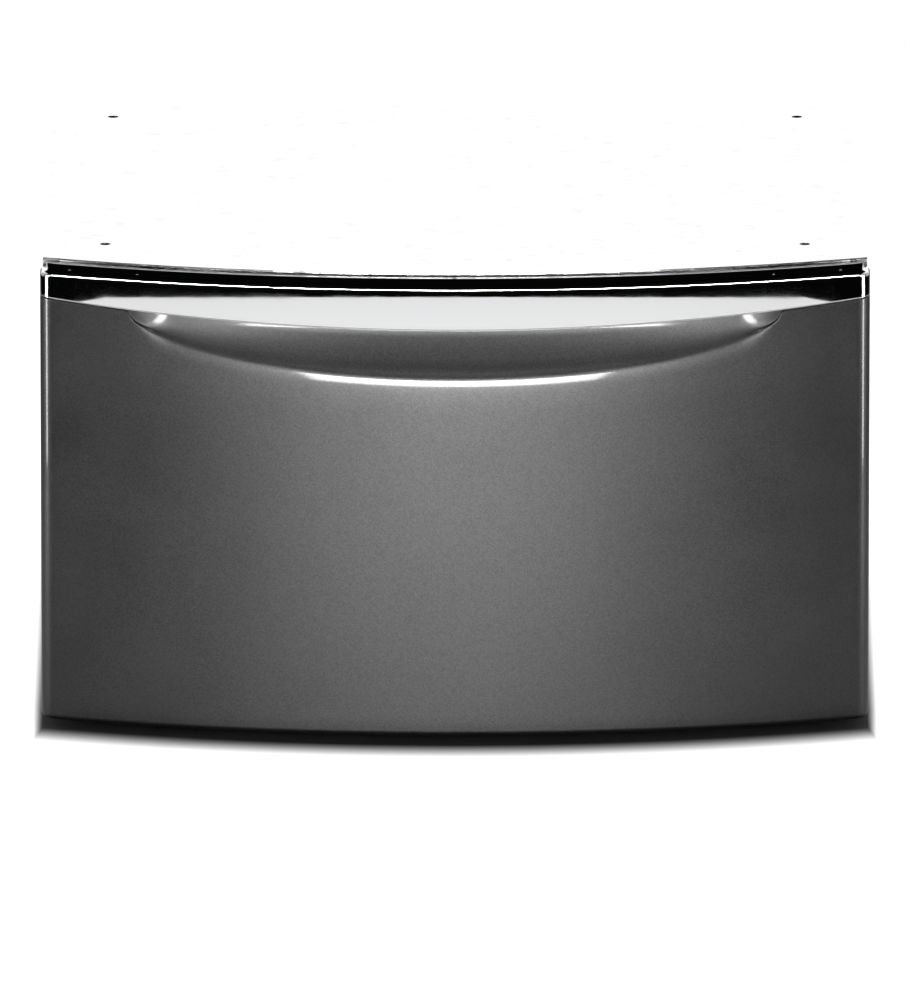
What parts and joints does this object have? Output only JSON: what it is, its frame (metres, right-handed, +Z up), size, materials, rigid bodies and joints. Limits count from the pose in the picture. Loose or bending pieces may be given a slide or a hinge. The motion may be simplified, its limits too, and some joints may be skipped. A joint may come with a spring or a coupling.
{
  "type": "laundry pedestal drawer",
  "caption": "Low laundry appliance pedestal with a bowed dark metallic drawer front, a chrome handle trim along its top edge and a finger scoop, on levelling feet.",
  "frame": {"origin": "under the middle of the whole object, on the surface that its four feet stand on", "axes": "+Z up; the drawer front faces -Y and the drawer opens along -Y; +X is to the right of someone who faces the front"},
  "size_m": [0.686, 0.673, 0.394],
  "materials": {
    "front_paint": "dark grey metallic flake paint under a clear coat, satin gloss",
    "trim_chrome": "polished chrome plating",
    "side_paint": "dark grey metallic paint, satin",
    "deck_galvanised": "bright galvanised sheet with fine spangle",
    "drawer_galvanised": "galvanised sheet, satin",
    "frame_galvanised": "galvanised sheet, dull",
    "slide_zinc": "bright zinc plate, drawn along its length",
    "bearing_steel": "polished steel balls in a pressed cage",
    "fastener_zinc": "zinc plate, slightly dull",
    "lever_plastic": "black moulded plastic",
    "foot_rubber": "black rubber"
  },
  "bodies": {
    "cabinet": {"cabinet_screws": "fastener_zinc", "deck_brace_left": "frame_galvanised", "deck_brace_right": "frame_galvanised", "foot_bracket_front_left": "frame_galvanised", "foot_bracket_front_right": "frame_galvanised", "foot_bracket_rear_left": "frame_galvanised", "foot_bracket_rear_right": "frame_galvanised", "foot_lock_nuts": "fastener_zinc", "front_lower_rail": "frame_galvanised", "front_upper_rail": "frame_galvanised", "rear_lower_rail": "frame_galvanised", "rear_panel": "frame_galvanised", "rear_upper_rail": "frame_galvanised", "side_panel_left": "side_paint", "side_panel_right": "side_paint", "slide_bracket_left": "frame_galvanised", "slide_bracket_right": "frame_galvanised", "slide_outer_left": "slide_zinc", "slide_outer_right": "slide_zinc", "slide_rivets_cabinet": "fastener_zinc", "top_deck": "deck_galvanised"},
    "drawer": {"divider_guide_left": "drawer_galvanised", "divider_guide_right": "drawer_galvanised", "drawer_back": "drawer_galvanised", "drawer_bottom": "drawer_galvanised", "drawer_bumpers": "foot_rubber", "drawer_front_panel": "front_paint", "drawer_inner_front": "drawer_galvanised", "drawer_side_left": "drawer_galvanised", "drawer_side_right": "drawer_galvanised", "front_backing": "frame_galvanised", "front_screws": "fastener_zinc", "front_stiffener_left": "frame_galvanised", "front_stiffener_right": "frame_galvanised", "handle_trim": "trim_chrome", "lever_pins": "fastener_zinc", "slide_inner_left": "slide_zinc", "slide_inner_right": "slide_zinc", "slide_rivets_drawer": "fastener_zinc", "trim_screws": "fastener_zinc"},
    "divider": {"drawer_divider": "drawer_galvanised"},
    "slide_middle_left": {"slide_middle_left": "slide_zinc"},
    "ball_cage_outer_left": {"ball_cage_outer_left": "bearing_steel"},
    "ball_cage_inner_left": {"ball_cage_inner_left": "bearing_steel"},
    "release_lever_left": {"release_lever_left": "lever_plastic"},
    "slide_middle_right": {"slide_middle_right": "slide_zinc"},
    "ball_cage_outer_right": {"ball_cage_outer_right": "bearing_steel"},
    "ball_cage_inner_right": {"ball_cage_inner_right": "bearing_steel"},
    "release_lever_right": {"release_lever_right": "lever_plastic"},
    "foot_front_left": {"foot_pad_front_left": "foot_rubber", "foot_stud_front_left": "fastener_zinc"},
    "foot_front_right": {"foot_pad_front_right": "foot_rubber", "foot_stud_front_right": "fastener_zinc"},
    "foot_rear_left": {"foot_pad_rear_left": "foot_rubber", "foot_stud_rear_left": "fastener_zinc"},
    "foot_rear_right": {"foot_pad_rear_right": "foot_rubber", "foot_stud_rear_right": "fastener_zinc"}
  },
  "joints": [
    {"name": "drawer_slide", "type": "slide", "parent": "cabinet", "child": "drawer", "axis": [0, -1, 0], "range_m": [0, 0.45]},
    {"name": "divider_lift", "type": "slide", "parent": "drawer", "child": "divider", "axis": [0, 0, 1], "range_m": [0, 0.04]},
    {"name": "middle_slide_left", "type": "slide", "parent": "cabinet", "child": "slide_middle_left", "axis": [0, -1, 0], "range_m": [0, 0.225]},
    {"name": "cage_outer_left", "type": "slide", "parent": "cabinet", "child": "ball_cage_outer_left", "axis": [0, -1, 0], "range_m": [0, 0.1125]},
    {"name": "cage_inner_left", "type": "slide", "parent": "cabinet", "child": "ball_cage_inner_left", "axis": [0, -1, 0], "range_m": [0, 0.3375]},
    {"name": "lever_flip_left", "type": "hinge", "parent": "drawer", "child": "release_lever_left", "pos_m": [-0.316, -0.04, 0.15], "axis": [1, 0, 0], "range_deg": [0, 9], "stiffness_Nm_per_rad": 0.2},
    {"name": "middle_slide_right", "type": "slide", "parent": "cabinet", "child": "slide_middle_right", "axis": [0, -1, 0], "range_m": [0, 0.225]},
    {"name": "cage_outer_right", "type": "slide", "parent": "cabinet", "child": "ball_cage_outer_right", "axis": [0, -1, 0], "range_m": [0, 0.1125]},
    {"name": "cage_inner_right", "type": "slide", "parent": "cabinet", "child": "ball_cage_inner_right", "axis": [0, -1, 0], "range_m": [0, 0.3375]},
    {"name": "lever_flip_right", "type": "hinge", "parent": "drawer", "child": "release_lever_right", "pos_m": [0.316, -0.04, 0.15], "axis": [1, 0, 0], "range_deg": [0, 9], "stiffness_Nm_per_rad": 0.2},
    {"name": "foot_drop_front_left", "type": "slide", "parent": "cabinet", "child": "foot_front_left", "axis": [0, 0, -1], "range_m": [0, 0.012]},
    {"name": "foot_drop_front_right", "type": "slide", "parent": "cabinet", "child": "foot_front_right", "axis": [0, 0, -1], "range_m": [0, 0.012]},
    {"name": "foot_drop_rear_left", "type": "slide", "parent": "cabinet", "child": "foot_rear_left", "axis": [0, 0, -1], "range_m": [0, 0.012]},
    {"name": "foot_drop_rear_right", "type": "slide", "parent": "cabinet", "child": "foot_rear_right", "axis": [0, 0, -1], "range_m": [0, 0.012]}
  ],
  "couplings": [
    {"joint": "middle_slide_left", "follows": "drawer_slide", "ratio": 0.5},
    {"joint": "cage_outer_left", "follows": "drawer_slide", "ratio": 0.25},
    {"joint": "cage_inner_left", "follows": "drawer_slide", "ratio": 0.75},
    {"joint": "middle_slide_right", "follows": "drawer_slide", "ratio": 0.5},
    {"joint": "cage_outer_right", "follows": "drawer_slide", "ratio": 0.25},
    {"joint": "cage_inner_right", "follows": "drawer_slide", "ratio": 0.75}
  ]
}
